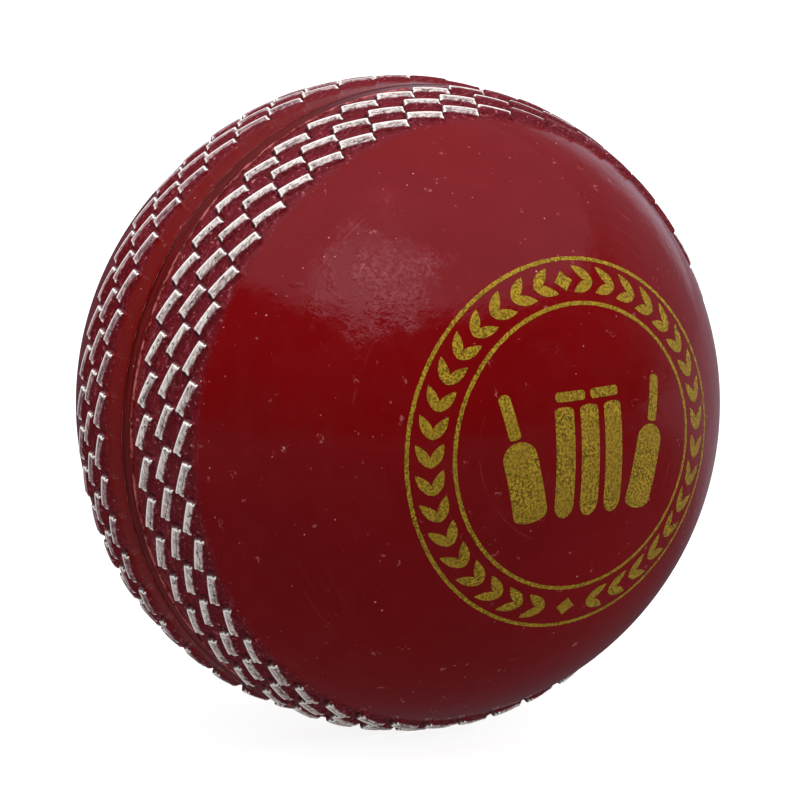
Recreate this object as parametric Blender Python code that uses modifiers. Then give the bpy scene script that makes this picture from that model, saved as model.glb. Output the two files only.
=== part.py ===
"""Cricket ball, moulded synthetic type, built as an assembly.

Axes: +X is the axis of the ball, through the pole of the right-hand cover;
the seam runs round the ball in the Y-Z plane; +Z is up.  Metres throughout.

From the centre outwards: a cork-and-rubber nucleus, two cork half shells, a
yarn winding, two more cork half shells, a second yarn winding, and two
moulded covers whose rims lock tongue-in-groove under one weld strip.
The stitches are ribs moulded in one piece with the covers.
"""

import math

import bmesh
import bpy
from mathutils import Matrix, Vector

# ---- driving dimensions ----------------------------------------------------
BALL_R = 0.0360            # smooth face of the covers
COVER_T = 0.0040           # wall of the covers
GAP = 0.0003               # clearance between neighbouring pieces

RIB_HEIGHT = 0.0007        # stitches stand this far off the cover
RIB_LENGTH = 0.0041        # along the stitch
RIB_WIDTH = 0.0012         # across the stitch
RIB_SINK = 0.0008          # how far a rib is rooted in the cover
RIB_SLANT = 21.0           # degrees, stitch against its row
RIBS_PER_ROW = 48
ROW_LATITUDES = (7.5, 12.5, 17.2)        # degrees from the seam plane
ROW_PHASES_RIGHT = (0.713, 0.386, 0.690)  # in stitch pitches, from +Z
ROW_PHASES_LEFT = (0.545, 0.095, 0.595)

JOINT_X = 0.0009           # middle of the weld strip along the axis
WELD_WIDTH = 0.0020
WELD_DEPTH = 0.0011
TONGUE_REACH = 0.0011
TONGUE_T = 0.0008
WELD_CHAMFER = 0.0003      # along the axis; half as much in depth
PLAIN_MARGIN = 5.0         # degrees of finer facets beyond the last row

NUCLEUS_R = 0.0100
CORK_INNER_T = 0.0038
YARN_INNER_R = 0.00125     # radius of the inner yarn
YARN_OUTER_R = 0.0019      # radius of the outer yarn
YARN_PITCH_RATIO = 1.32    # yarn spacing over yarn diameter

COVER_SEGMENTS = 48
CORE_SEGMENTS = 24

# ---- derived dimensions ----------------------------------------------------
COVER_IN_R = BALL_R - COVER_T
CORK_INNER_R0 = NUCLEUS_R + GAP
CORK_INNER_R1 = CORK_INNER_R0 + CORK_INNER_T
YARN_INNER_PATH = CORK_INNER_R1 + 2.2 * GAP + YARN_INNER_R
CORK_OUTER_R0 = YARN_INNER_PATH + YARN_INNER_R + 1.8 * GAP
YARN_OUTER_PATH = COVER_IN_R - 1.3 * GAP - YARN_OUTER_R
CORK_OUTER_R1 = YARN_OUTER_PATH - YARN_OUTER_R - 2.5 * GAP


# ---- scene helpers -----------------------------------------------------------
def clear_scene():
    for item in list(bpy.data.objects):
        bpy.data.objects.remove(item, do_unlink=True)
    for group in list(bpy.data.collections):
        bpy.data.collections.remove(group)


def new_collection(name):
    group = bpy.data.collections.new(name)
    bpy.context.scene.collection.children.link(group)
    return group


def material(name, colour, roughness, metallic=0.0, coat=0.0):
    item = bpy.data.materials.new(name)
    item.use_nodes = True
    shader = item.node_tree.nodes["Principled BSDF"]
    shader.inputs["Base Color"].default_value = (*colour, 1.0)
    shader.inputs["Roughness"].default_value = roughness
    shader.inputs["Metallic"].default_value = metallic
    shader.inputs["Coat Weight"].default_value = coat
    item.diffuse_color = (*colour, 1.0)
    return item


def shade_smooth(item, angle=35.0):
    for face in item.data.polygons:
        face.use_smooth = True
    edges = bmesh.new()
    edges.from_mesh(item.data)
    limit = math.radians(angle)
    for edge in edges.edges:
        edge.smooth = len(edge.link_faces) == 2 and edge.calc_face_angle(0.0) < limit
    edges.to_mesh(item.data)
    edges.free()


def bake(item):
    """Replace the object's mesh by the mesh its modifiers give."""
    graph = bpy.context.evaluated_depsgraph_get()
    mesh = bpy.data.meshes.new_from_object(item.evaluated_get(graph))
    item.modifiers.clear()
    item.data = mesh
    return item


def lathe(name, profile, segments, group):
    """Turn (axial, radial) points about the ball's axis into a body."""
    mesh = bpy.data.meshes.new(name)
    points = [(radial, 0.0, axial) for axial, radial in profile]
    edges = [(i, i + 1) for i in range(len(points) - 1)]
    if profile[0][1] > 1e-7:
        edges.append((len(points) - 1, 0))
    mesh.from_pydata(points, edges, [])
    item = bpy.data.objects.new(name, mesh)
    group.objects.link(item)
    screw = item.modifiers.new("turn", "SCREW")
    screw.axis = "Z"
    screw.angle = math.tau
    screw.steps = segments
    screw.render_steps = segments
    screw.use_merge_vertices = True
    screw.merge_threshold = 0.00001
    bake(item)
    item.data.transform(Matrix.Rotation(math.radians(90.0), 4, "Y"))
    face_out(item)
    return item


def face_out(item):
    body = bmesh.new()
    body.from_mesh(item.data)
    bmesh.ops.remove_doubles(body, verts=body.verts, dist=0.000001)
    bmesh.ops.recalc_face_normals(body, faces=body.faces)
    body.to_mesh(item.data)
    body.free()


def finish(item, surface, smooth=True):
    item.data.materials.clear()
    item.data.materials.append(surface)
    if smooth:
        shade_smooth(item)
    return item


# ---- shapes --------------------------------------------------------------------
def arc(radius, start, end, steps):
    """Points (axial, radial) on a circle; the angle is 90 at the +X pole."""
    points = []
    for i in range(steps + 1):
        angle = math.radians(start + (end - start) * i / steps)
        radial = radius * math.cos(angle)
        if abs(abs(start + (end - start) * i / steps) - 90.0) < 1e-6:
            radial = 0.0
        points.append((radius * math.sin(angle), radial))
    return points


def latitude(radius, axial):
    return math.degrees(math.asin(axial / radius))


def half_shell(name, inner, outer, side, surface, group):
    """Cork half shell with a flat rim, its open side facing the seam plane."""
    rim = GAP / 2
    outside = arc(outer, 90.0, latitude(outer, rim), 6)
    inside = arc(inner, latitude(inner, rim), 90.0, 5)
    profile = [(side * axial, radial) for axial, radial in outside + inside]
    if side < 0:
        profile.reverse()
    return finish(lathe(name, profile, CORE_SEGMENTS, group), surface)


def rim_points(side):
    """Rim of a cover from its outer face to its inner face, seen in section."""
    floor = BALL_R - WELD_DEPTH - GAP
    middle = (COVER_IN_R + floor) / 2
    edge = WELD_WIDTH / 2 + GAP
    reach = TONGUE_REACH
    half = TONGUE_T / 2
    meet = GAP / 2
    if side > 0:
        half += GAP
        reach += GAP
        lip = meet + reach
    else:
        lip = meet - reach
    offsets = [(edge, floor), (meet, floor)]
    offsets += [(meet, middle + half), (lip, middle + half)]
    offsets += [(lip, middle - half), (meet, middle - half)]
    return [(JOINT_X + side * offset, radial) for offset, radial in offsets]


def cover_body(name, side, group):
    edge = JOINT_X + side * (WELD_WIDTH / 2 + GAP)
    meet = JOINT_X + side * GAP / 2
    start = side * latitude(BALL_R, edge)
    band_end = ROW_LATITUDES[-1] + PLAIN_MARGIN
    outside = arc(BALL_R, 90.0, band_end, 8) + arc(BALL_R, band_end, start, 4)[1:]
    inside = arc(COVER_IN_R, side * latitude(COVER_IN_R, meet), 90.0, 7)
    outside = [(side * axial, radial) for axial, radial in outside]
    inside = [(side * axial, radial) for axial, radial in inside]
    profile = outside + rim_points(side) + inside
    if side < 0:
        profile.reverse()
    return lathe(name, profile, COVER_SEGMENTS, group)


def on_ball(radius, lat, turn):
    """Point at a latitude from the seam plane and a turn from +Z towards -Y."""
    lat = math.radians(lat)
    turn = math.radians(turn)
    ring = radius * math.cos(lat)
    return Vector((radius * math.sin(lat), -ring * math.sin(turn), ring * math.cos(turn)))


def rib_rows(name, side, phases, group):
    """All the stitches of one cover as one mesh of separate blocks."""
    body = bmesh.new()
    pitch = 360.0 / RIBS_PER_ROW
    slant = math.radians(RIB_SLANT)
    for row, phase in zip(ROW_LATITUDES, phases):
        for i in range(RIBS_PER_ROW):
            turn = (i + phase) * pitch
            up = on_ball(1.0, side * row, turn).normalized()
            ahead = (on_ball(1.0, side * row, turn + 0.5) - on_ball(1.0, side * row, turn - 0.5))
            ahead.normalize()
            across = up.cross(ahead)
            if across.x < 0:
                across.negate()
            along = ahead * math.cos(slant) - across * math.sin(slant)
            wide = up.cross(along)
            made = bmesh.ops.create_cube(body, size=1.0)["verts"]
            tall = RIB_HEIGHT + RIB_SINK
            frame = Matrix((
                (along.x * RIB_LENGTH, wide.x * RIB_WIDTH, up.x * tall),
                (along.y * RIB_LENGTH, wide.y * RIB_WIDTH, up.y * tall),
                (along.z * RIB_LENGTH, wide.z * RIB_WIDTH, up.z * tall),
            )).to_4x4()
            seat = up * (BALL_R - RIB_SINK + tall / 2)
            bmesh.ops.transform(body, matrix=Matrix.Translation(seat) @ frame, verts=made)
    bmesh.ops.recalc_face_normals(body, faces=body.faces)
    mesh = bpy.data.meshes.new(name)
    body.to_mesh(mesh)
    body.free()
    item = bpy.data.objects.new(name, mesh)
    group.objects.link(item)
    item.hide_render = True
    item.display_type = "WIRE"
    return item


def cover(name, side, phases, surface, group, cutters):
    item = cover_body(name, side, group)
    ribs = rib_rows(name + "_ribs", side, phases, cutters)
    union = item.modifiers.new("ribs", "BOOLEAN")
    union.operation = "UNION"
    union.solver = "EXACT"
    union.object = ribs
    bake(item)
    return finish(item, surface)


def weld_strip(name, surface, group):
    half = WELD_WIDTH / 2
    depth = BALL_R - WELD_DEPTH
    section = [
        (JOINT_X + half, BALL_R - WELD_CHAMFER / 2),
        (JOINT_X + half - WELD_CHAMFER, BALL_R),
        (JOINT_X - half + WELD_CHAMFER, BALL_R),
        (JOINT_X - half, BALL_R - WELD_CHAMFER / 2),
        (JOINT_X - half, depth),
        (JOINT_X + half, depth),
    ]
    return finish(lathe(name, section, COVER_SEGMENTS, group), surface)


def nucleus(name, surface, group):
    profile = arc(NUCLEUS_R, 90.0, -90.0, 10)
    return finish(lathe(name, profile, 20, group), surface)


def winding(name, path_radius, yarn_radius, per_turn, tilt, surface, group):
    """One continuous strand laid pole to pole round a sphere."""
    pitch = 2 * yarn_radius * YARN_PITCH_RATIO
    first = 0.75 * pitch / path_radius
    turns = round((math.pi - 2 * first) * path_radius / pitch)
    count = turns * per_turn
    curve = bpy.data.curves.new(name, "CURVE")
    curve.dimensions = "3D"
    curve.bevel_depth = yarn_radius
    curve.bevel_resolution = 1
    curve.use_fill_caps = True
    strand = curve.splines.new("POLY")
    strand.points.add(count)
    lean = Matrix.Rotation(math.radians(tilt), 3, "Y")
    for i in range(count + 1):
        polar = first + (math.pi - 2 * first) * i / count
        turn = math.tau * turns * i / count
        ring = path_radius * math.sin(polar)
        spot = Vector((ring * math.cos(turn), ring * math.sin(turn), path_radius * math.cos(polar)))
        strand.points[i].co = (*(lean @ spot), 1.0)
    source = bpy.data.objects.new(name + "_path", curve)
    group.objects.link(source)
    graph = bpy.context.evaluated_depsgraph_get()
    mesh = bpy.data.meshes.new_from_object(source.evaluated_get(graph))
    bpy.data.objects.remove(source, do_unlink=True)
    item = bpy.data.objects.new(name, mesh)
    group.objects.link(item)
    face_out(item)
    return finish(item, surface)


# ---- assembly --------------------------------------------------------------------
def build():
    clear_scene()
    ball = new_collection("cricket_ball")
    cutters = new_collection("cutters")
    cutters.hide_render = True

    pvc_right = material("cover_red_right", (0.36, 0.012, 0.018), 0.28, coat=0.5)
    pvc_left = material("cover_red_left", (0.34, 0.012, 0.018), 0.28, coat=0.5)
    weld_red = material("weld_red", (0.30, 0.010, 0.015), 0.35)
    cork_rubber = material("cork_rubber", (0.12, 0.07, 0.04), 0.85)
    cork_a = material("cork_inner_a", (0.50, 0.31, 0.16), 0.9)
    cork_b = material("cork_inner_b", (0.46, 0.28, 0.14), 0.9)
    cork_c = material("cork_outer_a", (0.52, 0.33, 0.18), 0.9)
    cork_d = material("cork_outer_b", (0.48, 0.30, 0.16), 0.9)
    yarn_a = material("yarn_inner", (0.62, 0.52, 0.38), 0.95)
    yarn_b = material("yarn_outer", (0.70, 0.60, 0.46), 0.95)

    nucleus("core_nucleus", cork_rubber, ball)
    half_shell("cork_inner_left", CORK_INNER_R0, CORK_INNER_R1, -1, cork_a, ball)
    half_shell("cork_inner_right", CORK_INNER_R0, CORK_INNER_R1, 1, cork_b, ball)
    winding("winding_inner", YARN_INNER_PATH, YARN_INNER_R, 12, 35.0, yarn_a, ball)
    half_shell("cork_outer_left", CORK_OUTER_R0, CORK_OUTER_R1, -1, cork_c, ball)
    half_shell("cork_outer_right", CORK_OUTER_R0, CORK_OUTER_R1, 1, cork_d, ball)
    winding("winding_outer", YARN_OUTER_PATH, YARN_OUTER_R, 16, -50.0, yarn_b, ball)
    cover("cover_left", -1, ROW_PHASES_LEFT, pvc_left, ball, cutters)
    cover("cover_right", 1, ROW_PHASES_RIGHT, pvc_right, ball, cutters)
    weld_strip("seam_weld", weld_red, ball)


build()
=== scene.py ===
import math
import random

import bmesh
import bpy
import numpy as np
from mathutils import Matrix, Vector


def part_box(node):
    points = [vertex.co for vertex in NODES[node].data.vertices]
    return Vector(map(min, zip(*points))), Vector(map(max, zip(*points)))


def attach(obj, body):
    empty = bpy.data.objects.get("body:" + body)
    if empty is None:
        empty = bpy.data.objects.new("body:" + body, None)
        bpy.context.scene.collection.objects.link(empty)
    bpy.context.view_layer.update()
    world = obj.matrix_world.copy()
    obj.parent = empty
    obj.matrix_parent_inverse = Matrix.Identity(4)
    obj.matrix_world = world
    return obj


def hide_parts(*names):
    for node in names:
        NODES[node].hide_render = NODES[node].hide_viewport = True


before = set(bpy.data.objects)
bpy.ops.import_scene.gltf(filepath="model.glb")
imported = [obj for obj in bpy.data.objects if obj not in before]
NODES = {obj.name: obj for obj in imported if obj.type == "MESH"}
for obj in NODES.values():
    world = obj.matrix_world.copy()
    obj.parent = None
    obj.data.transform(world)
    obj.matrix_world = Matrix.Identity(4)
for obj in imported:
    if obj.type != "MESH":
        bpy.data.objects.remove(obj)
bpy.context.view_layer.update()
MM = 0.001

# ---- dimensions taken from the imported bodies, and the part's stitch layout ----
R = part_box("cover_right")[1].x
WELD_LO, WELD_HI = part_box("seam_weld")[0].x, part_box("seam_weld")[1].x
SEAM_MID = (WELD_LO + WELD_HI) / 2
FLOOR_Z = min(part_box("cover_left")[0].z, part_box("cover_right")[0].z) - 0.10 * MM

RIB_H = 0.70                        # mm, as are the outlines of a stitch and its paint
RIB_SLANT = 21.0                    # degrees
RIBS_PER_ROW = 48
ROW_LATITUDES = (7.5, 12.5, 17.2)   # degrees from the seam's plane
ROW_PHASES = {1: (0.713, 0.386, 0.690), -1: (0.545, 0.095, 0.595)}      # shares of the pitch


# ---- mesh helpers ---------------------------------------------------------------
def new_piece(name, verts, faces, mat):
    mesh = bpy.data.meshes.new(name)
    mesh.from_pydata([tuple(v) for v in verts], [], faces)
    mesh.validate()
    mesh.update()
    mesh.polygons.foreach_set("use_smooth", [True] * len(mesh.polygons))
    mesh.materials.append(mat)
    item = bpy.data.objects.new(name, mesh)
    bpy.context.scene.collection.objects.link(item)
    return item


def point_values(item, name, values):
    """Keep a number, or a group of three, for each point of the mesh, for its material to read."""
    kind, key = ("FLOAT_VECTOR", "vector") if isinstance(values[0], tuple) else ("FLOAT", "value")
    data = item.data.attributes.new(name, kind, "POINT").data
    data.foreach_set(key, np.array(values, np.float32).ravel())


def face_outwards(item, weld=0.0):
    """Turn every face outwards, after joining points closer than weld."""
    work = bmesh.new()
    work.from_mesh(item.data)
    if weld > 0.0:
        bmesh.ops.remove_doubles(work, verts=work.verts, dist=weld)
    bmesh.ops.recalc_face_normals(work, faces=work.faces)
    work.to_mesh(item.data)
    work.free()


def sharpen(item, angle):
    """Keep creases sharp where faces meet steeply."""
    work = bmesh.new()
    work.from_mesh(item.data)
    limit = math.radians(angle)
    for edge in work.edges:
        edge.smooth = len(edge.link_faces) == 2 and edge.calc_face_angle(0.0) < limit
    work.to_mesh(item.data)
    work.free()


def revolve(profile, segments):
    """Turn a closed outline of (x, radius) points, in metres, about the X axis."""
    verts, rings = [], []
    for x, r in profile:
        if r < 1e-7:
            rings.append([len(verts)])
            verts.append((x, 0.0, 0.0))
        else:
            start = len(verts)
            for k in range(segments):
                a = math.tau * k / segments
                verts.append((x, r * math.cos(a), r * math.sin(a)))
            rings.append(list(range(start, start + segments)))
    faces = []
    closed = len(rings[0]) > 1
    pairs = len(rings) if closed else len(rings) - 1
    for i in range(pairs):
        a, b = rings[i], rings[(i + 1) % len(rings)]
        for k in range(segments):
            n = (k + 1) % segments
            if len(a) == 1:
                faces.append((a[0], b[k], b[n]))
            elif len(b) == 1:
                faces.append((a[k], b[0], a[n]))
            else:
                faces.append((a[k], b[k], b[n], a[n]))
    return verts, faces


def grid_faces(base, rows, cols):
    """Quads of a grid of points that is stored row by row from base."""
    faces = []
    for i in range(rows - 1):
        for j in range(cols - 1):
            a = base + i * cols + j
            faces.append((a, a + cols, a + cols + 1, a + 1))
    return faces


def grid_border(base, rows, cols):
    """The points round the outside of such a grid, in order."""
    loop = [base + i * cols for i in range(rows)]
    loop += [base + (rows - 1) * cols + j for j in range(1, cols)]
    loop += [base + i * cols + cols - 1 for i in range(rows - 2, -1, -1)]
    loop += [base + j for j in range(cols - 2, 0, -1)]
    return loop


def sphere_arc(radius, x0, x1, steps):
    """Outline points on a sphere from x0 to x1, ending on the axis where x1 is a pole."""
    a0, a1 = math.asin(x0 / radius), math.asin(max(-1.0, min(1.0, x1 / radius)))
    out = []
    for i in range(steps + 1):
        a = a0 + (a1 - a0) * i / steps
        out.append((radius * math.sin(a), max(0.0, radius * math.cos(a))))
    if abs(abs(x1) - radius) < 1e-9:
        out[-1] = (x1, 0.0)
    return out


def lip(x, radius, side, bite, steps=5):
    """Small round from a groove wall at x onto the ball's face."""
    top = math.sqrt(radius ** 2 - (x + side * bite) ** 2)
    out = []
    for i in range(steps):
        a = math.pi / 2 * i / steps
        out.append((x + side * bite * (1 - math.cos(a)), top - bite + bite * math.sin(a)))
    return out


def ease(t):
    t = min(1.0, max(0.0, t))
    return t * t * (3 - 2 * t)


def lerp_table(table, x):
    for (x0, y0), (x1, y1) in zip(table, table[1:]):
        if x <= x1:
            return y0 + (y1 - y0) * max(0.0, (x - x0) / (x1 - x0))
    return table[-1][1]


# ---- stitch layout ----------------------------------------------------------------
def on_ball(lat, turn):
    lat, turn = math.radians(lat), math.radians(turn)
    return Vector((math.sin(lat), -math.cos(lat) * math.sin(turn), math.cos(lat) * math.cos(turn)))


def rib_frames(side, row, rng):
    """Centre direction, along and wide axes of every stitch in a row, then its length share, its
    height share and its own random number; wide points towards +X."""
    out = []
    pitch = 360.0 / RIBS_PER_ROW
    for i in range(RIBS_PER_ROW):
        lat = side * ROW_LATITUDES[row] + rng.uniform(-0.12, 0.12)
        turn = (i + ROW_PHASES[side][row]) * pitch + rng.uniform(-0.12, 0.12)
        up = on_ball(lat, turn)
        ahead = (on_ball(lat, turn + 0.01) - on_ball(lat, turn - 0.01)).normalized()
        across = up.cross(ahead)
        slant = math.radians(RIB_SLANT + rng.uniform(-1.3, 1.3))
        along = (ahead * math.cos(slant) - across * math.sin(slant)).normalized()
        wide = up.cross(along)
        out.append((up, along, wide, rng.uniform(0.965, 1.02), rng.uniform(0.93, 1.0), rng.random()))
    return out


# ---- one stitch: its outline along (l) and across (w), as shares of the rib's height --------
END = [(1.86, 1.0), (2.00, 0.87), (2.15, 0.42), (2.26, 0.06), (2.36, 0.012), (2.60, 0.0)]
BACK = [(-1.02, 0.0), (-0.82, 0.012), (-0.72, 0.05), (-0.65, 0.45), (-0.59, 0.87), (-0.49, 1.0),
        (-0.20, 0.94), (0.08, 0.92), (0.27, 0.84), (0.44, 0.60), (0.62, 0.33), (0.82, 0.12),
        (1.02, 0.02), (1.12, 0.0)]
LEG = [(-1.02, 0.0), (0.08, 0.97), (0.28, 0.94), (0.44, 0.80), (0.60, 0.50), (0.78, 0.20),
       (1.02, 0.02), (1.12, 0.0)]
HALF_L = [0.7, 1.40, 1.56, 1.70, 1.86, 2.00, 2.15, 2.26, 2.36, 2.48, 2.60]
L_STEPS = [-l for l in reversed(HALF_L)] + [0.0] + HALF_L
W_STEPS = [-1.02, -0.92, -0.82, -0.72, -0.65, -0.59, -0.49, -0.40, -0.30, -0.08, 0.12, 0.30, 0.48,
           0.66, 0.84, 1.02, 1.12]
RIB_SUNK, RIB_LEAST = -0.02, 0.006      # height at a stitch's border, and the least just inside it
RIB_ROOT = 0.5                          # depth of a stitch's root under the ball's face
PAINT_L = (-2.20, 2.20)
PAINT_W = (-0.68, 1.00)
FILM_LIFT, FILM_TUCK = 0.014, -0.03     # the paint stands proud, and its border dips into the rib
STREAKED_FROM = 0.45                    # stitches with a random number above this have a dark streak
OUT_OF_REACH = 5.0


def leg_share(l):
    return ease((abs(l) - 1.44) / 0.22)


def rib_height(l, w):
    """Height of a stitch above the ball's face, in mm: a steep wall on one long side and at
    the ends, a slightly dished top, a soft slope on the other side, and two legs at the ends."""
    share = lerp_table(BACK, w)
    if w > 0.0:
        share = max(share, leg_share(l) * lerp_table(LEG, w))
    crown = 1.0 - 0.07 * (l / 2.2) ** 2
    notch = 0.17 * math.exp(-((w + 0.06) / 0.20) ** 2) * ease((abs(l) - 1.60) / 0.30)
    return RIB_H * lerp_table(END, abs(l) + notch) * share * crown


def rib_point(up, along, wide, l, w, h):
    d = (up * R + along * (l * MM) + wide * (w * MM)).normalized()
    return d * (R + h * MM)


def crevice(l, w):
    """How near a point is to the crevice at the foot of the stitch's steep sides, from 0 to 1: the share of
    painted shade that the cover's colour puts there.
    """
    near_back = ease((-0.64 - w) / 0.06)
    near_end = 0.8 * ease((abs(l) - 2.14) / 0.08) * ease((0.30 - w) / 0.45)
    return max(near_back, near_end) * ease((2.48 - abs(l)) / 0.10) * ease((w + 0.92) / 0.08)


def stitch_bodies(frames):
    """Closed stitch bodies rooted in the cover, and how near each of their points is to the crevice, where
    painted shade goes.
    """
    verts, faces, foot = [], [], []
    rows, cols = len(L_STEPS), len(W_STEPS)
    for up, along, wide, size, tall, _ in frames:
        base = len(verts)
        for i, l in enumerate(L_STEPS):
            for j, w in enumerate(W_STEPS):
                border = i in (0, rows - 1) or j in (0, cols - 1)
                h = RIB_SUNK if border else max(RIB_LEAST, rib_height(l, w) * tall)
                verts.append(rib_point(up, along, wide, l * size, w, h))
                foot.append(crevice(l, w))
        faces += grid_faces(base, rows, cols)
        loop = grid_border(base, rows, cols)
        low, count = len(verts), len(loop)
        verts += [verts[n].normalized() * (R - RIB_ROOT * MM) for n in loop]
        foot += [0.0] * count
        for k in range(count):
            n = (k + 1) % count
            faces.append((loop[k], low + k, low + n, loop[n]))
        faces.append(tuple(low + k for k in reversed(range(count))))
    return verts, faces, foot


def paint_films(frames, fullness, thin):
    """A thin film over each stitch's top and legs. Its points hold, in turn: how much paint is
    there, how near the rim is and how thin the coat is; the way to the dark streak; the outline,
    which takes a dark line of painted shadow."""
    ls = [l for l in L_STEPS if PAINT_L[0] < l < PAINT_L[1]]
    ws = [w for w in W_STEPS if PAINT_W[0] < w < PAINT_W[1]]
    rows, cols = len(ls), len(ws)
    verts, faces, coat, line, edge_shadow = [], [], [], [], []
    for up, along, wide, size, tall, seed in frames:
        base = len(verts)
        turn = math.degrees(math.atan2(-up.y, up.z))
        bare = ease((-turn - 3.0) / 12.0) * ease((turn + 62.0) / 16.0)     # rubbed off the far shoulder
        fade = fullness + 0.22 * seed - 0.85 * bare
        skip = OUT_OF_REACH if seed < STREAKED_FROM else 0.0
        for i, l in enumerate(ls):
            for j, w in enumerate(ws):
                border = i in (0, rows - 1) or j in (0, cols - 1)
                h = rib_height(l, w) * tall + (FILM_TUCK if border else FILM_LIFT)
                verts.append(rib_point(up, along, wide, l * size, w, h))
                body = 1.0 - ease((w - fade + 0.20) / 0.40)
                tip = leg_share(l) * (1.0 - ease((w - 0.34 - 0.12 * seed) / 0.24)) * (1.0 - bare)
                rim = max(1.0 - ease((w + 0.40) / 0.16), ease((abs(l) - 1.68) / 0.14))
                coat.append((max(body, tip), rim, thin + 0.25 * seed))
                line.append(w - fade + 0.28 + 0.07 * math.sin(1.3 * l + 6.0 * seed) + skip)
                # where a dark line of painted shadow runs: along the rim and round the ends
                at_end = ease((abs(l) - 1.88) / 0.12) * (1.0 - ease((w - 0.30) / 0.20))
                edge_shadow.append(max(1.0 - ease((w + 0.53) / 0.12), at_end))
        faces += grid_faces(base, rows, cols)
        faces.append(tuple(reversed(grid_border(base, rows, cols))))
    return verts, faces, coat, line, edge_shadow


# ---- crest layout ---------------------------------------------------------------------
CREST_AXIS = Vector((0.9970, 0.0750, 0.0120)).normalized()
CREST_UP = (Vector((0, 0, 1)) - CREST_AXIS * CREST_AXIS.z).normalized()
CREST_RIGHT = CREST_UP.cross(CREST_AXIS).normalized()
FOIL_TOP, FOIL_DEEP = 0.025, -0.04      # mm from the ball's face
FOIL_WELD = 1e-7


def crest_point(u, v, h):
    """Point of the ball's face u mm right of and v mm above the crest's centre."""
    reach = math.hypot(u, v)
    if reach < 1e-9:
        return CREST_AXIS * (R + h * MM)
    a = reach * MM / R
    way = (CREST_RIGHT * u + CREST_UP * v) / reach
    return (CREST_AXIS * math.cos(a) + way * math.sin(a)) * (R + h * MM)


def foil_patch(grid, wrap, base):
    """Points and faces of one closed film, numbered from base; wrap joins the last row to the first."""
    rows, cols = len(grid), len(grid[0])
    low = base + rows * cols
    verts = [crest_point(u, v, FOIL_TOP) for row in grid for u, v in row]
    verts += [crest_point(u, v, FOIL_DEEP) for row in grid for u, v in row]
    faces = []
    for i in range(rows if wrap else rows - 1):
        n = (i + 1) % rows
        for j in range(cols - 1):
            a, b = base + i * cols + j, base + n * cols + j
            faces.append((a, b, b + 1, a + 1))
            a, b = low + i * cols + j, low + n * cols + j
            faces.append((a, a + 1, b + 1, b))
        for j, flip in ((0, False), (cols - 1, True)):
            here, there = i * cols + j, n * cols + j
            wall = (base + here, low + here, low + there, base + there)
            faces.append(tuple(reversed(wall)) if flip else wall)
    if not wrap:
        for i, flip in ((0, True), (rows - 1, False)):
            for j in range(cols - 1):
                here = i * cols + j
                wall = (base + here, low + here, low + here + 1, base + here + 1)
                faces.append(tuple(reversed(wall)) if flip else wall)
    return verts, faces


def foil(name, patches, mat):
    """Closed thin films of gold foil. Each patch is a grid of (u, v) rows, and whether it wraps."""
    verts, faces = [], []
    for grid, wrap in patches:
        more_verts, more_faces = foil_patch(grid, wrap, len(verts))
        verts += more_verts
        faces += more_faces
    item = new_piece(name, verts, faces, mat)
    face_outwards(item, FOIL_WELD)
    sharpen(item, 40.0)
    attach(item, "root")


def bar(ax, ay, bx, by, widths, cols=4):
    """A bar from a to b; widths is a list of (share of the length, half width)."""
    dx, dy = bx - ax, by - ay
    length = math.hypot(dx, dy)
    nx, ny = -dy / length, dx / length
    grid = []
    for t, half in widths:
        x, y = ax + dx * t, ay + dy * t
        offs = [half * (2 * j / cols - 1) for j in range(cols + 1)]
        grid.append([(x + nx * off, y + ny * off) for off in offs])
    return grid, False


def rounded(length, half, round_a, round_b, steps=6, middle=8):
    """Half widths along a bar with its ends rounded; round_a and round_b are the lengths of the rounds."""
    out = []
    for i in range(steps + 1):
        a = math.pi / 2 * i / steps
        out.append((round_a * (1 - math.cos(a)) / length, half * max(0.06, math.sin(a))))
    for i in range(1, middle):
        out.append(((round_a + (length - round_a - round_b) * i / middle) / length, half))
    for i in range(steps + 1):
        a = math.pi / 2 * (1 - i / steps)
        out.append((1 - round_b * (1 - math.cos(a)) / length, half * max(0.06, math.sin(a))))
    return out


def ring(inner, outer, steps=360, cols=2):
    """A ring of foil with the slightly ragged edges of a hot stamping."""
    rag = random.Random(int(inner * 100))
    grid = []
    for i in range(steps):
        a = math.tau * i / steps
        near, far = inner + rag.uniform(-0.03, 0.03), outer + rag.uniform(-0.03, 0.03)
        reaches = [near + (far - near) * j / cols for j in range(cols + 1)]
        grid.append([(reach * math.cos(a), reach * math.sin(a)) for reach in reaches])
    return grid, True


def leaf(radius, angle, tilt, length, half, out):
    """A pointed leaf of the wreath, springing from the circle of that radius."""
    a = math.radians(angle)
    cx, cy = radius * math.cos(a), radius * math.sin(a)
    way = a + math.pi / 2 + math.radians(tilt)
    shares = [i / 8 for i in range(9)]
    shape = [(t, half * max(0.05, math.sin(math.pi * t ** 0.85) ** 0.8)) for t in shares]
    return bar(cx, cy, cx + out * length * math.cos(way), cy + out * length * math.sin(way), shape, 2)


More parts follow.
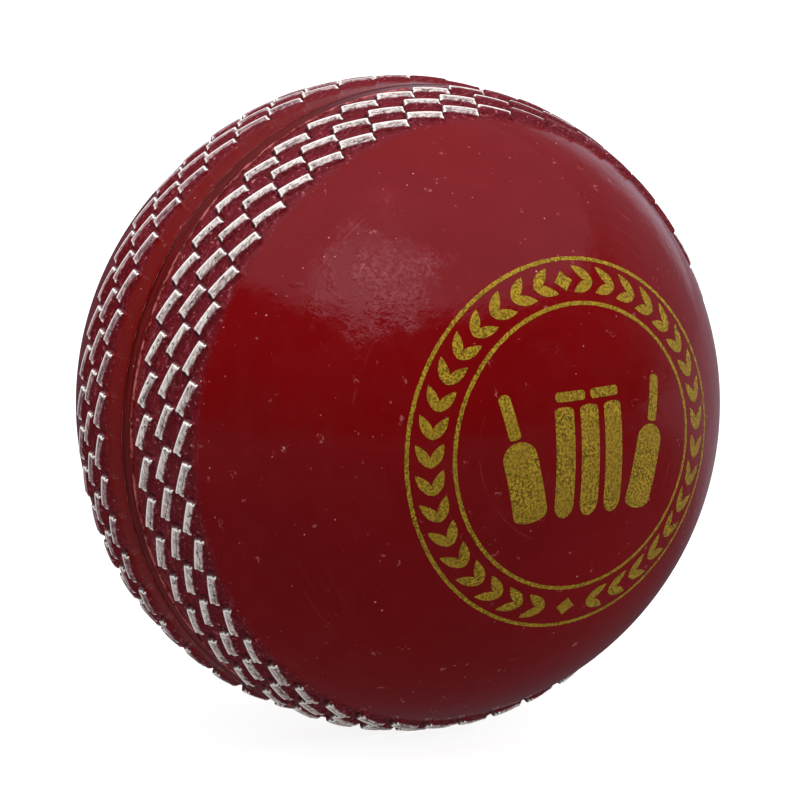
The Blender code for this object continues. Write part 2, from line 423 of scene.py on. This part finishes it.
# ---- material helpers --------------------------------------------------------------------
class Tree:
    """Short calls for building a node tree; each gives the output that the next call takes."""

    def __init__(self, owner):
        owner.use_nodes = True
        kind = "World" if isinstance(owner, bpy.types.World) else "Material"
        self.output = "ShaderNodeOutput" + kind
        self.tree = owner.node_tree
        self.tree.nodes.clear()

    def node(self, kind, inputs=None, **props):
        item = self.tree.nodes.new(kind)
        for key, value in props.items():
            setattr(item, key, value)
        for key, value in (inputs or {}).items():
            self.put(item.inputs[key], value)
        return item

    def put(self, socket, value):
        if isinstance(value, bpy.types.NodeSocket):
            self.tree.links.new(value, socket)
        elif isinstance(value, tuple) and socket.type == "RGBA" and len(value) == 3:
            socket.default_value = (*value, 1.0)
        else:
            socket.default_value = value

    def math(self, op, a, b=0.0):
        item = self.node("ShaderNodeMath", operation=op)
        self.put(item.inputs[0], a)
        self.put(item.inputs[1], b)
        return item.outputs[0]

    def plus(self, a, b):
        return self.math("ADD", a, b)

    def times(self, a, b):
        return self.math("MULTIPLY", a, b)

    def size(self, a):
        return self.math("ABSOLUTE", a)

    def most(self, a, b):
        return self.math("MAXIMUM", a, b)

    def swing(self, noise, reach):
        """A noise from 0 to 1 turned into one from -reach/2 to reach/2."""
        return self.times(self.plus(noise, -0.5), reach)

    def span(self, value, a, b, lo=0.0, hi=1.0, smooth=True):
        """Run from lo to hi as value runs from a to b, and stay there beyond."""
        item = self.node("ShaderNodeMapRange", interpolation_type="SMOOTHSTEP" if smooth else "LINEAR",
                         clamp=True)
        names = ("Value", "From Min", "From Max", "To Min", "To Max")
        for key, v in zip(names, (value, a, b, lo, hi)):
            self.put(item.inputs[key], v)
        return item.outputs[0]

    def mix(self, share, a, b, blend="MIX"):
        item = self.node("ShaderNodeMix", data_type="RGBA", blend_type=blend)
        self.put(item.inputs[0], share)
        self.put(item.inputs[6], a)
        self.put(item.inputs[7], b)
        return item.outputs[2]

    def place(self):
        return self.node("ShaderNodeTexCoord").outputs["Object"]

    def xyz(self, vector):
        return self.node("ShaderNodeSeparateXYZ", {"Vector": vector}).outputs

    def rgb(self, colour):
        return self.node("ShaderNodeSeparateColor", {"Color": colour}).outputs

    def attribute(self, name, output="Fac"):
        return self.node("ShaderNodeAttribute", attribute_name=name).outputs[output]

    def dot(self, vector, direction):
        inputs = {0: vector, 1: tuple(direction)}
        return self.node("ShaderNodeVectorMath", inputs, operation="DOT_PRODUCT").outputs["Value"]

    def distance(self, vector, point):
        inputs = {0: vector, 1: point}
        return self.node("ShaderNodeVectorMath", inputs, operation="DISTANCE").outputs["Value"]

    def noise(self, vector, scale, detail=2.0, rough=0.5, warp=0.0):
        inputs = {"Vector": vector, "Scale": scale, "Detail": detail, "Roughness": rough, "Distortion": warp}
        return self.node("ShaderNodeTexNoise", inputs).outputs["Fac"]

    def streaks(self, vector, stretch, detail, rough=0.5, turn=(0.0, 0.0, 0.0), warp=0.0):
        """Noise whose scale differs along each axis."""
        inputs = {"Vector": vector, "Scale": stretch, "Rotation": turn}
        return self.noise(self.node("ShaderNodeMapping", inputs).outputs[0], 1.0, detail, rough, warp)

    def cells(self, vector, scale, feature="F1"):
        return self.node("ShaderNodeTexVoronoi", {"Vector": vector, "Scale": scale}, feature=feature).outputs

    def bump(self, height, distance, strength, normal=None):
        item = self.node("ShaderNodeBump", {"Height": height, "Distance": distance, "Strength": strength})
        if normal is not None:
            self.put(item.inputs["Normal"], normal)
        return item.outputs[0]

    def surface(self, shader):
        self.tree.links.new(shader, self.node(self.output).inputs["Surface"])

    def finish(self, **inputs):
        shader = self.node("ShaderNodeBsdfPrincipled")
        for key, value in inputs.items():
            self.put(shader.inputs[key.replace("_", " ")], value)
        self.surface(shader.outputs[0])


def new_material(name):
    mat = bpy.data.materials.new(name)
    return mat, Tree(mat)


def shade(colour, share):
    return tuple(c * share for c in colour)


# ---- the moulded PVC ------------------------------------------------------------------------
RED = (0.150, 0.0015, 0.0025)
WELD_RED = (0.138, 0.0013, 0.0023)
PVC_IOR = 1.47
SCUFF_AND_HIGHLIGHT_SPOT = tuple(R * c for c in (0.668, -0.507, 0.544))     # where the lamp's reflection falls: the face is scuffed most here, and a painted highlight haze lies over it
SCUFF_AND_HIGHLIGHT_REACH = 14.0 * MM


def cover_zones(t, place):
    """The rough ground under the stitches, and the smooth band between the two groups of rows."""
    x = t.xyz(place)[0]
    far = t.times(x, -1.0)
    right = t.times(t.span(x, 2.0 * MM, 2.9 * MM), t.span(x, 11.3 * MM, 12.9 * MM, 1.0, 0.0))
    left = t.times(t.span(far, 3.0 * MM, 4.0 * MM, 0.0, 0.8), t.span(far, 11.0 * MM, 12.6 * MM, 1.0, 0.0))
    band = t.times(t.span(x, 2.2 * MM, 3.6 * MM, 1.0, 0.0), t.span(far, 3.0 * MM, 4.2 * MM, 1.0, 0.0))
    return t.most(right, left), band


def smooth_red(t, place, red, mottle, band):
    cloud = t.noise(place, 55.0, 3.0)
    colour = t.mix(t.span(cloud, 0.35, 0.70), shade(red, 0.94), shade(red, 1.06))
    colour = t.mix(t.times(t.span(mottle, 0.40, 0.66), 0.5), colour, (red[0] * 1.06, 0.0022, 0.0036))
    return t.mix(t.times(band, 0.55), colour, (red[0] * 0.86, 0.0050, 0.0022))


def stitched_ground(t, place, red, grit):
    """Dark and pale grit, with paler fibres, between the stitches."""
    fray = t.streaks(place, (3000.0, 520.0, 520.0), 4.0, 0.7, (0.0, 0.12, 0.10))
    ground = t.mix(t.span(grit, 0.30, 0.62), shade(red, 0.55), (red[0] * 1.02, 0.005, 0.014))
    ground = t.mix(t.times(t.span(fray, 0.54, 0.68), 0.75), ground, (0.275, 0.050, 0.070))
    return t.mix(t.span(grit, 0.63, 0.70), ground, (0.58, 0.23, 0.25))


def specks(t, place):
    """Small pale spots of differing size and strength, crowded here and there."""
    spots = t.cells(place, 1000.0)
    lot = t.rgb(spots["Color"])
    reach = t.plus(t.times(t.math("POWER", lot[0], 4.0), 0.10), 0.040)
    speck = t.span(t.math("SUBTRACT", spots["Distance"], reach), -0.02, 0.005, 1.0, 0.0)
    crowd = t.swing(t.noise(place, 120.0, 2.0), 1.6)
    speck = t.times(speck, t.span(t.plus(lot[1], crowd), 0.34, 0.36))
    return speck, t.span(lot[2], 0.1, 0.9, 0.18, 0.85)


def scratches(t, place):
    lines = t.streaks(place, (620.0, 22.0, 16.0), 0.0, turn=(0.15, 0.10, 0.05))
    where = t.streaks(place, (190.0, 70.0, 70.0), 3.0, 0.6)
    line = t.span(t.size(t.plus(lines, -0.5)), 0.0, 0.008, 1.0, 0.0)
    return t.times(line, t.span(where, 0.56, 0.64))


# The scuffed patch round the spot where the lamp's reflection falls: it ripples the relief, and the cover's
# colour paints a pale highlight haze over it.
def scuff_and_highlight_patch(t, place):
    near = t.span(t.distance(place, SCUFF_AND_HIGHLIGHT_SPOT), 0.0, SCUFF_AND_HIGHLIGHT_REACH, 1.0, 0.0, False)
    ragged = t.swing(t.noise(place, 200.0, 4.0, 0.65), 2.2)
    return t.span(t.plus(near, ragged), 0.45, 0.95)


def pvc_roughness(t, place, mottle, stitched, crevice_shade):
    smear = t.streaks(place, (70.0, 70.0, 40.0), 4.0, 0.6, (0.4, 0.2, 0.3), 0.8)
    rough = t.span(smear, 0.35, 0.70, 0.075, 0.135)
    rough = t.plus(rough, t.span(mottle, 0.40, 0.66, 0.0, 0.045))
    rough = t.plus(rough, t.times(stitched, 0.17))
    return t.plus(rough, t.times(crevice_shade, 0.4))


def pvc_parts(t, red=RED):
    """Place, colour, roughness and relief of the glossy moulded cover."""
    place = t.place()
    stitched, band = cover_zones(t, place)
    # nearness to each stitch's crevice: the colour paints shade there, and the face is rougher
    crevice_shade = t.attribute("crevice")
    mottle = t.noise(place, 260.0, 3.0, 0.6, 0.5)
    grit = t.noise(place, 2300.0, 3.0, 0.65)
    ripple = t.noise(place, 2100.0, 3.0, 0.55, 0.6)
    scuff_and_highlight = scuff_and_highlight_patch(t, place)
    scratch = scratches(t, place)
    speck, speck_tone = specks(t, place)
    nick = t.times(t.span(t.noise(place, 520.0, 3.0, 0.6), 0.665, 0.70), t.span(grit, 0.47, 0.58))
    # painted highlight: a pale pink haze over the scuffed patch, where the lamp's reflection falls
    painted_highlight_haze = t.times(scuff_and_highlight, t.span(ripple, 0.42, 0.60, 0.0, 0.40))

    colour = smooth_red(t, place, red, mottle, band)
    colour = t.mix(t.times(stitched, 0.9), colour, stitched_ground(t, place, red, grit))
    colour = t.mix(t.times(nick, 0.55), colour, (0.42, 0.120, 0.130))
    colour = t.mix(t.times(speck, speck_tone), colour, (0.62, 0.26, 0.27))
    colour = t.mix(t.times(scratch, 0.22), colour, (0.36, 0.075, 0.075))
    # painted shade: the colour goes near black in the crevice at each stitch's foot
    colour = t.mix(t.times(crevice_shade, 0.96), colour, (0.008, 0.0012, 0.0016))
    # painted highlight: the pale pink haze laid over the scuffed patch
    colour = t.mix(painted_highlight_haze, colour, (0.26, 0.058, 0.074))

    peel = t.noise(place, 420.0, 2.0, 0.5)
    marks = t.streaks(place, (5200.0, 60.0, 60.0), 2.0, 0.6)
    rag = t.streaks(place, (1700.0, 1100.0, 1100.0), 4.0, 0.65, (0.3, 0.0, 0.2))
    fine = t.noise(place, 900.0, 3.0, 0.6)
    uneven = t.span(t.noise(place, 110.0, 3.0, 0.6), 0.50, 0.64)
    rippled = t.most(t.times(uneven, 0.45), scuff_and_highlight)
    normal = t.bump(peel, 0.09 * MM, 0.6)
    normal = t.bump(t.times(ripple, rippled), 0.10 * MM, 0.9, normal)
    normal = t.bump(t.times(scratch, 0.5), 0.02 * MM, 0.7, normal)
    normal = t.bump(t.times(marks, band), 0.06 * MM, 0.8, normal)
    normal = t.bump(t.times(rag, stitched), 0.40 * MM, 0.9, normal)
    normal = t.bump(speck, 0.06 * MM, 0.8, normal)
    normal = t.bump(fine, 0.006 * MM, 0.5, normal)
    return place, colour, pvc_roughness(t, place, mottle, stitched, crevice_shade), normal


def cover_material():
    mat, t = new_material("pvc_cover")
    _, colour, rough, normal = pvc_parts(t)
    t.finish(Base_Color=colour, Roughness=rough, Normal=normal, IOR=PVC_IOR)
    return mat


def weld_material():
    """The cover's red, darker, with fine lines round it, a dark band of painted shade near each edge and a
    frayed painted highlight along each edge.
    """
    mat, t = new_material("pvc_weld")
    place, colour, rough, normal = pvc_parts(t, WELD_RED)
    off = t.size(t.plus(t.xyz(place)[0], -SEAM_MID))
    frayed = t.streaks(place, (2500.0, 600.0, 600.0), 4.0, 0.75)
    lines = t.streaks(place, (5200.0, 130.0, 130.0), 3.0, 0.6)
    colour = t.mix(t.span(lines, 0.42, 0.60, 0.55, 0.0), colour, (0.030, 0.0008, 0.0012))
    # painted shade: a dark band just inside each edge of the strip, broken up by the frayed noise
    painted_groove_shade = t.times(t.span(off, 0.58 * MM, 0.70 * MM), t.span(off, 0.84 * MM, 0.78 * MM))
    painted_groove_shade = t.times(painted_groove_shade, t.span(frayed, 0.34, 0.56, 0.25, 0.75))
    colour = t.mix(painted_groove_shade, colour, (0.020, 0.0006, 0.0008))
    # painted highlight: a frayed pale line along each edge's bead
    painted_bead_highlight = t.times(t.span(off, 0.80 * MM, 0.90 * MM), t.span(frayed, 0.44, 0.58))
    colour = t.mix(t.times(painted_bead_highlight, 0.80), colour, (0.52, 0.14, 0.14))
    t.finish(Base_Color=colour, Roughness=rough, Normal=normal, IOR=PVC_IOR)
    return mat


# ---- finishes and core ----------------------------------------------------------------------
def paint_material():
    """Off-white paint, near white along the rim and pitted, that lets the red through where it is rubbed
    away.
    """
    mat, t = new_material("stitch_paint")
    place, red, red_rough, red_normal = pvc_parts(t)
    held, rim, thin = t.xyz(t.attribute("paint", "Vector"))
    rag = t.noise(place, 1500.0, 4.0, 0.65)
    drag = t.streaks(place, (3800.0, 1300.0, 1300.0), 3.0, 0.6)
    held = t.plus(held, t.swing(rag, 1.1))
    mask = t.span(held, 0.34, 0.62)
    pits = t.noise(place, 2300.0, 2.0, 0.5)
    pit = t.times(t.span(pits, 0.60, 0.68), t.math("SUBTRACT", 1.0, rim))

    brushed = t.span(drag, 0.35, 0.65)
    full = t.mix(brushed, (0.33, 0.268, 0.258), (0.78, 0.705, 0.672))
    sparse = t.mix(brushed, (0.15, 0.048, 0.062), (0.40, 0.235, 0.260))
    sparseness = t.most(t.math("MINIMUM", thin, 1.0), t.span(held, 0.50, 0.90, 0.80, 0.0))
    white = t.mix(sparseness, full, sparse)
    off = t.size(t.plus(t.attribute("paint_line"), t.swing(rag, 0.30)))
    broken = t.span(t.streaks(place, (500.0, 300.0, 300.0), 2.0), 0.44, 0.52)
    streak = t.times(t.span(off, 0.020, 0.075, 1.0, 0.0), broken)
    white = t.mix(t.times(streak, 0.8), white, (0.060, 0.016, 0.018))
    white = t.mix(rim, white, (0.97, 0.95, 0.92))
    # painted shadow: a dark line along the paint's rim and round the ends
    outline = t.span(t.attribute("paint_edge_shadow"), 0.25, 0.80)
    white = t.mix(t.times(outline, 0.85), white, (0.030, 0.004, 0.006))
    white = t.mix(t.times(pit, 0.85), white, (0.06, 0.03, 0.028))

    relief = t.math("SUBTRACT", t.times(drag, 0.8), t.times(pit, 1.5))
    t.finish(Base_Color=t.mix(mask, red, white), Roughness=t.mix(mask, red_rough, (0.5, 0.5, 0.5)),
             Normal=t.bump(relief, 0.07 * MM, 0.7, red_normal), IOR=PVC_IOR)
    return mat


def foil_material():
    """Grainy gold foil with small gaps that show the red."""
    mat, t = new_material("gold_foil")
    place, red, _, red_normal = pvc_parts(t)
    grain = t.noise(place, 3600.0, 3.0, 0.7)
    patch = t.noise(place, 260.0, 3.0, 0.55)
    gone = t.times(t.span(grain, 0.60, 0.68), t.span(patch, 0.45, 0.62))
    gold = t.mix(t.span(grain, 0.40, 0.60), (0.150, 0.086, 0.003), (0.590, 0.385, 0.022))
    gold = t.mix(t.span(patch, 0.35, 0.65, 0.0, 0.4), gold, (0.39, 0.250, 0.013))
    t.finish(Base_Color=t.mix(gone, gold, red), Roughness=t.span(grain, 0.3, 0.7, 0.34, 0.52),
             Metallic=t.times(t.math("SUBTRACT", 1.0, gone), 0.35),
             Normal=t.bump(grain, 0.03 * MM, 0.6, red_normal), IOR=PVC_IOR)
    return mat


def cork_material(name, light, dark):
    """Cork or rubber granules pressed together, with dark joints and flecks."""
    mat, t = new_material(name)
    place = t.place()
    tone = t.rgb(t.cells(place, 620.0)["Color"])[0]
    gap = t.cells(place, 620.0, "DISTANCE_TO_EDGE")["Distance"]
    colour = t.mix(tone, light, dark)
    colour = t.mix(t.span(gap, 0.02, 0.07, 1.0, 0.0), colour, shade(dark, 0.25))
    fleck = t.noise(place, 1900.0, 3.0, 0.6)
    colour = t.mix(t.span(fleck, 0.62, 0.72), colour, shade(dark, 0.35))
    normal = t.bump(t.plus(t.span(gap, 0.0, 0.10), t.times(fleck, 0.5)), 0.15 * MM, 0.8)
    t.finish(Base_Color=colour, Roughness=t.span(fleck, 0.3, 0.7, 0.72, 0.92), Normal=normal)
    return mat


def yarn_material(name, light, dark, spacing):
    """Plied yarn with a fuzz of loose fibre."""
    mat, t = new_material(name)
    place = t.place()
    tilted = t.node("ShaderNodeMapping", {"Vector": place, "Rotation": (0.6, 0.5, 0.2)}).outputs[0]
    inputs = {"Vector": tilted, "Scale": spacing, "Distortion": 2.5, "Detail": 2.0, "Detail Scale": 1.5}
    wave = t.node("ShaderNodeTexWave", inputs, wave_type="BANDS", bands_direction="DIAGONAL")
    fuzz = t.noise(place, 3200.0, 4.0, 0.7)
    share = t.plus(t.times(wave.outputs["Fac"], 0.7), t.times(fuzz, 0.3))
    t.finish(Base_Color=t.mix(share, dark, light), Roughness=t.span(fuzz, 0.3, 0.7, 0.78, 0.95),
             Normal=t.bump(share, 0.25 * MM, 0.9), Sheen_Weight=0.3)
    return mat


CORK_LIGHT, CORK_DARK = (0.46, 0.26, 0.12), (0.24, 0.12, 0.05)
CORK_TONES = {"cork_inner_left": 1.0, "cork_inner_right": 0.92,
              "cork_outer_left": 1.06, "cork_outer_right": 0.96}


def dress_core():
    """The core's CAD bodies stay, with their own materials."""
    def dress(node_name, mat):
        NODES[node_name].data.materials[0] = mat

    dress("core_nucleus", cork_material("nucleus_rubber_cork", (0.12, 0.065, 0.035), (0.035, 0.02, 0.014)))
    for node_name, tone in CORK_TONES.items():
        mat = cork_material("cork_" + node_name, shade(CORK_LIGHT, tone), shade(CORK_DARK, tone))
        dress(node_name, mat)
    dress("winding_inner", yarn_material("yarn_inner", (0.62, 0.52, 0.36), (0.30, 0.23, 0.14), 420.0))
    dress("winding_outer", yarn_material("yarn_outer", (0.70, 0.61, 0.45), (0.34, 0.27, 0.17), 330.0))


# ---- covers ----------------------------------------------------------------------------------
SEGMENTS = 256
GROOVE_FLOOR = 34.6 * MM
GROOVE_LIP = 0.10 * MM
INNER = 32.0 * MM
HALF_GAP = 0.15 * MM        # from the seam's middle to each cover under the weld strip
WALL = 0.18 * MM            # from the weld strip's edge to the cover's groove wall


def cover_outline(side):
    """Half section of a cover, from its inside pole out to its outside pole, round the weld groove."""
    edge = WELD_HI + WALL if side > 0 else WELD_LO - WALL
    joint = SEAM_MID + side * HALF_GAP
    outline = sphere_arc(INNER, side * INNER, joint, 16)
    outline += [(joint, GROOVE_FLOOR), (edge, GROOVE_FLOOR), (edge, R - 0.5 * MM)]
    outline += lip(edge, R, side, GROOVE_LIP)
    return outline + sphere_arc(R, edge + side * GROOVE_LIP, side * R, 54)


def add_paint(word, row, frames, fullness, thin, paint):
    verts, faces, coat, line, edge_shadow = paint_films(frames, fullness, thin)
    film = new_piece(f"stitch_paint_{word}_row_{row + 1}", verts, faces, paint)
    point_values(film, "paint", coat)
    point_values(film, "paint_line", line)
    point_values(film, "paint_edge_shadow", edge_shadow)
    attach(film, "root")


def add_cover(side, word, rng, pvc, paint):
    """A cover with its stitches, and the paint on each row; the far group is painted more thinly."""
    verts, faces = revolve(cover_outline(side), SEGMENTS)
    all_frames = []
    for row in range(3):
        frames = rib_frames(side, row, rng)
        all_frames += frames
        if side > 0:
            add_paint(word, row, frames, 0.30, 0.0, paint)
        else:
            add_paint(word, row, frames, 0.26 - 0.06 * row, 0.72, paint)
    rib_verts, rib_faces, foot = stitch_bodies(all_frames)
    start = len(verts)
    faces += [tuple(start + n for n in face) for face in rib_faces]
    skin = new_piece(f"cover_{word}_skin", verts + rib_verts, faces, pvc)
    point_values(skin, "crevice", [0.0] * start + foot)
    face_outwards(skin)
    sharpen(skin, 75.0)
    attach(skin, "root")
    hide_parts(f"cover_{word}")


# ---- weld strip ---------------------------------------------------------------------------------
WELD_OVERLAP = 0.06 * MM    # the strip is this much wider than its CAD body on each side
WELD_DEEP = 1.1 * MM
WELD_LIP = 0.09 * MM
FLANGE = 0.10 * MM          # hidden step that closes the slot under each parting line
FLANGE_DEEP = 0.22 * MM
BEAD_RISE = 0.07 * MM
WELD_STEPS = 24


def weld_outline():
    """Section of the strip, with a raised bead along each parting line."""
    lo, hi = WELD_LO - WELD_OVERLAP, WELD_HI + WELD_OVERLAP
    deep, step = R - WELD_DEEP, R - FLANGE_DEEP
    outline = [(lo - FLANGE, deep), (lo - FLANGE, step), (lo, step)]
    outline += lip(lo, R, 1, WELD_LIP)
    for i in range(WELD_STEPS + 1):
        x = lo + WELD_LIP + (hi - lo - 2 * WELD_LIP) * i / WELD_STEPS
        ridge = BEAD_RISE * math.exp(-((min(i, WELD_STEPS - i) - 1.5) / 1.6) ** 2)
        outline.append((x, math.sqrt(R ** 2 - x ** 2) + ridge))
    outline += reversed(lip(hi, R, -1, WELD_LIP))
    return outline + [(hi, step), (hi + FLANGE, step), (hi + FLANGE, deep)]


def add_weld(mat):
    verts, faces = revolve(weld_outline(), SEGMENTS)
    weld = new_piece("seam_weld_strip", verts, faces, mat)
    face_outwards(weld)
    sharpen(weld, 75.0)
    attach(weld, "root")
    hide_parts("seam_weld")


# ---- crest: two rings, a wreath between them, and a wicket with two bats ---------------------------
DEG = math.radians(1.0) * R / MM        # mm of the ball's face to a degree
RING_EDGES = ((34.35, 35.10), (25.85, 26.60))
WREATH_RADIUS = 30.5 * DEG
LEAVES, LEAF_START, LEAF_PITCH = 17, 9.0, 9.9
DIAMOND = 1.2
STUMP_SPACING, STUMP_FOOT, STUMP_TOP = 3.3, -7.4, 5.2
BAIL_HEIGHT = 6.3
BAT_LEAN, BAT_OUT, BAT_FOOT = 13.0, 7.2, -7.6


def wreath():
    """Leaves in pairs up both sides from the foot, and a diamond at the top and the foot."""
    out = []
    for half in (1, -1):
        for i in range(LEAVES):
            angle = -90 + half * (LEAF_START + i * LEAF_PITCH)
            out += [leaf(WREATH_RADIUS, angle, lean, 3.2, 0.62, half) for lean in (30, -30)]
    shape = [(i / 8, DIAMOND * max(0.04, 1 - abs(i / 4 - 1))) for i in range(9)]
    for angle in (90, -90):
        x = WREATH_RADIUS * math.cos(math.radians(angle))
        y = WREATH_RADIUS * math.sin(math.radians(angle))
        out.append(bar(x - DIAMOND, y, x + DIAMOND, y, shape, 2))
    return out


def wicket():
    """Three stumps and two bails."""
    stump = rounded(STUMP_TOP - STUMP_FOOT, 1.22, 1.6, 0.5)
    out = [bar(i * STUMP_SPACING, STUMP_FOOT, i * STUMP_SPACING, STUMP_TOP, stump) for i in (-1, 0, 1)]
    bail = rounded(3.95, 0.55, 0.4, 0.4)
    out += [bar(s * 0.35, BAIL_HEIGHT, s * 4.3, BAIL_HEIGHT, bail, 2) for s in (-1, 1)]
    return out


def bat_point(side, reach):
    """Point on the middle line of a bat, that far up from its foot."""
    lean = math.radians(BAT_LEAN) * side
    return side * BAT_OUT + math.sin(lean) * reach, BAT_FOOT + math.cos(lean) * reach


def bats():
    """A bat on each side of the wicket, leaning outwards: a blade and a handle."""
    out = []
    for side in (-1, 1):
        blade = rounded(9.6, 2.05, 1.0, 1.9)
        handle = rounded(5.3, 0.72, 0.3, 0.6)
        out.append(bar(*bat_point(side, 0.0), *bat_point(side, 9.6), blade, 6))
        out.append(bar(*bat_point(side, 9.9), *bat_point(side, 15.2), handle, 2))
    return out


# ---- floor: white to the camera, and a weaker light of its own to the ball ---------------------------
FLOOR_RADIUS, FLOOR_RINGS, FLOOR_SPOKES = 1.6, 12, 64
FLOOR_ACROSS, FLOOR_AWAY = (0.53, 0.85, 0.0), (-0.85, 0.53, 0.0)


def floor_material():
    mat, t = new_material("floor_paper")
    place = t.place()
    rays = t.node("ShaderNodeLightPath").outputs
    side, deep = t.dot(place, FLOOR_ACROSS), t.dot(place, FLOOR_AWAY)

    def glow(colour, strength):
        return t.node("ShaderNodeEmission", {"Color": colour, "Strength": strength}).outputs[0]

    paper = t.mix(t.noise(place, 40.0, 3.0), (0.36, 0.36, 0.36), (0.39, 0.39, 0.39))
    base = t.node("ShaderNodeBsdfDiffuse", {"Color": paper}).outputs[0]
    seen = t.node("ShaderNodeAddShader", {0: base, 1: glow((1.0, 1.0, 1.0), 0.88)}).outputs[0]
    mirrored = t.plus(0.080, t.times(t.span(side, 0.0, 0.07, 0.0, 0.20), t.span(deep, 0.02, 0.12)))
    lifted = t.span(t.size(side), 0.0, 0.10, 0.58, 0.90)
    other = t.node("ShaderNodeMixShader", {0: rays["Is Glossy Ray"], 1: glow((1.0, 0.98, 0.97), lifted),
                                           2: glow((1.0, 0.80, 0.95), mirrored)}).outputs[0]
    t.surface(t.node("ShaderNodeMixShader", {0: rays["Is Camera Ray"], 1: other, 2: seen}).outputs[0])
    mat.cycles.emission_sampling = "NONE"
    return mat


def add_floor():
    """A disc whose rings widen outwards."""
    verts = [(0.0, 0.0, FLOOR_Z)]
    spokes = FLOOR_SPOKES
    for i in range(1, FLOOR_RINGS + 1):
        r = FLOOR_RADIUS * (i / FLOOR_RINGS) ** 2
        turns = [math.tau * k / spokes for k in range(spokes)]
        verts += [(r * math.cos(a), r * math.sin(a), FLOOR_Z) for a in turns]
    faces = [(0, 1 + k, 1 + (k + 1) % spokes) for k in range(spokes)]
    for i in range(FLOOR_RINGS - 1):
        a, b = 1 + i * spokes, 1 + (i + 1) * spokes
        faces += [(a + k, b + k, b + (k + 1) % spokes, a + (k + 1) % spokes) for k in range(spokes)]
    floor = new_piece("studio_floor", verts, faces, floor_material())


# ---- studio light: a dark room with a soft light overhead and a pale backdrop ------------------------
VIEW = Vector((0.83219, -0.51895, 0.19533)).normalized()        # from the ball to the camera


def reflected_light(t, way, z):
    """What the ball mirrors: the overhead diffuser, the backdrop behind it, and a lamp."""
    front = t.dot(way, (VIEW.x, VIEW.y, 0.0))
    aside = t.dot(way, (-VIEW.y, VIEW.x, 0.0))                  # positive on the picture's right
    lower = t.plus(z, t.span(front, -0.35, 0.40, 0.11, 0.0))
    sky = t.span(lower, 0.620, 0.700, 0.008, 0.52)              # dark walls up to the diffuser
    sky = t.times(sky, t.span(front, -0.85, 0.10, 0.45, 1.0))
    behind = t.span(front, -0.74, -0.97, 0.0, 0.56)             # pale backdrop on the far side
    behind = t.times(behind, t.span(aside, -0.30, 0.05, 0.22, 1.0))
    wings = t.span(front, -0.05, -0.55, 0.0, 0.19)
    wings = t.times(wings, t.span(aside, -0.20, 0.30, 0.45, 1.0))
    band = t.most(sky, t.most(behind, wings))
    patch = t.dot(way, (0.40, -0.44, 0.805))
    lamp = t.times(t.span(patch, 0.915, 0.970, 0.0, 0.62), t.span(z, 0.64, 0.675))
    return t.mix(1.0, t.plus(band, lamp), (1.0, 0.90, 1.08), "MULTIPLY")


def scattered_light(t, way, z):
    """What lights the ball's own colour: an even sky with a soft fill from three sides."""
    front_fill = t.span(t.dot(way, (0.62, -0.74, 0.26)), 0.45, 1.0, 0.0, 0.18)
    side_fill = t.span(t.dot(way, (0.23, 0.95, -0.20)), 0.20, 0.95, 0.0, 1.40)
    left_fill = t.span(t.dot(way, (-0.50, -0.84, -0.10)), 0.35, 1.0, 0.0, 0.48)
    even = t.span(z, -0.1, 0.9, 0.33, 0.60, smooth=False)
    total = t.plus(even, t.plus(front_fill, t.plus(side_fill, left_fill)))
    return t.mix(1.0, total, (1.0, 0.99, 0.98), "MULTIPLY")


def add_world():
    world = bpy.data.worlds.new("studio")
    bpy.context.scene.world = world
    world.cycles.sampling_method = "NONE"
    t = Tree(world)
    way = t.node("ShaderNodeTexCoord").outputs["Generated"]
    z = t.xyz(way)[2]
    rays = t.node("ShaderNodeLightPath").outputs
    light = t.mix(rays["Is Glossy Ray"], scattered_light(t, way, z), reflected_light(t, way, z))
    light = t.mix(rays["Is Camera Ray"], light, (1.0, 1.0, 1.0))
    t.surface(t.node("ShaderNodeBackground", {"Color": light, "Strength": 1.0}).outputs[0])


def add_softbox(name, place, size, power):
    """A round area light aimed at the ball, which neither the camera nor a reflection sees."""
    lamp_data = bpy.data.lights.new(name, "AREA")
    lamp_data.shape = "DISK"
    lamp_data.size = size
    lamp_data.energy = power
    lamp = bpy.data.objects.new(name, lamp_data)
    lamp.location = place
    lamp.rotation_euler = (-Vector(place)).to_track_quat("-Z", "Y").to_euler()
    lamp.visible_glossy = False
    lamp.visible_camera = False
    bpy.context.scene.collection.objects.link(lamp)


# ---- camera ------------------------------------------------------------------------------------------
CAMERA_REACH = 60.0         # ball radii from the ball's middle
LENS_MM = 869.9
SHIFT = (0.0026, 0.0036)


def add_camera():
    scene = bpy.context.scene
    cam = bpy.data.objects.new("camera", bpy.data.cameras.new("camera"))
    scene.collection.objects.link(cam)
    cam.location = VIEW * (CAMERA_REACH * R)
    cam.rotation_euler = (-VIEW).to_track_quat("-Z", "Y").to_euler()
    cam.data.sensor_width = 36.0
    cam.data.lens = LENS_MM
    cam.data.shift_x, cam.data.shift_y = SHIFT
    cam.data.clip_start, cam.data.clip_end = 0.1, 20.0
    scene.camera = cam
    scene.view_settings.view_transform = "Standard"


# ---- the ball and its studio --------------------------------------------------------------------------
pvc = cover_material()
pvc_weld = weld_material()
paint = paint_material()
gold = foil_material()
dress_core()

rng = random.Random(41)
for side, word in ((1, "right"), (-1, "left")):
    add_cover(side, word, rng, pvc, paint)
add_weld(pvc_weld)
foil("crest_rings", [ring(near * DEG, far * DEG) for near, far in RING_EDGES], gold)
foil("crest_wreath", wreath(), gold)
foil("crest_wicket", wicket(), gold)
foil("crest_bats", bats(), gold)

add_floor()
add_world()
add_softbox("overhead_softbox", (0.10, -0.13, 0.85), 0.42, 6.8)
add_camera()
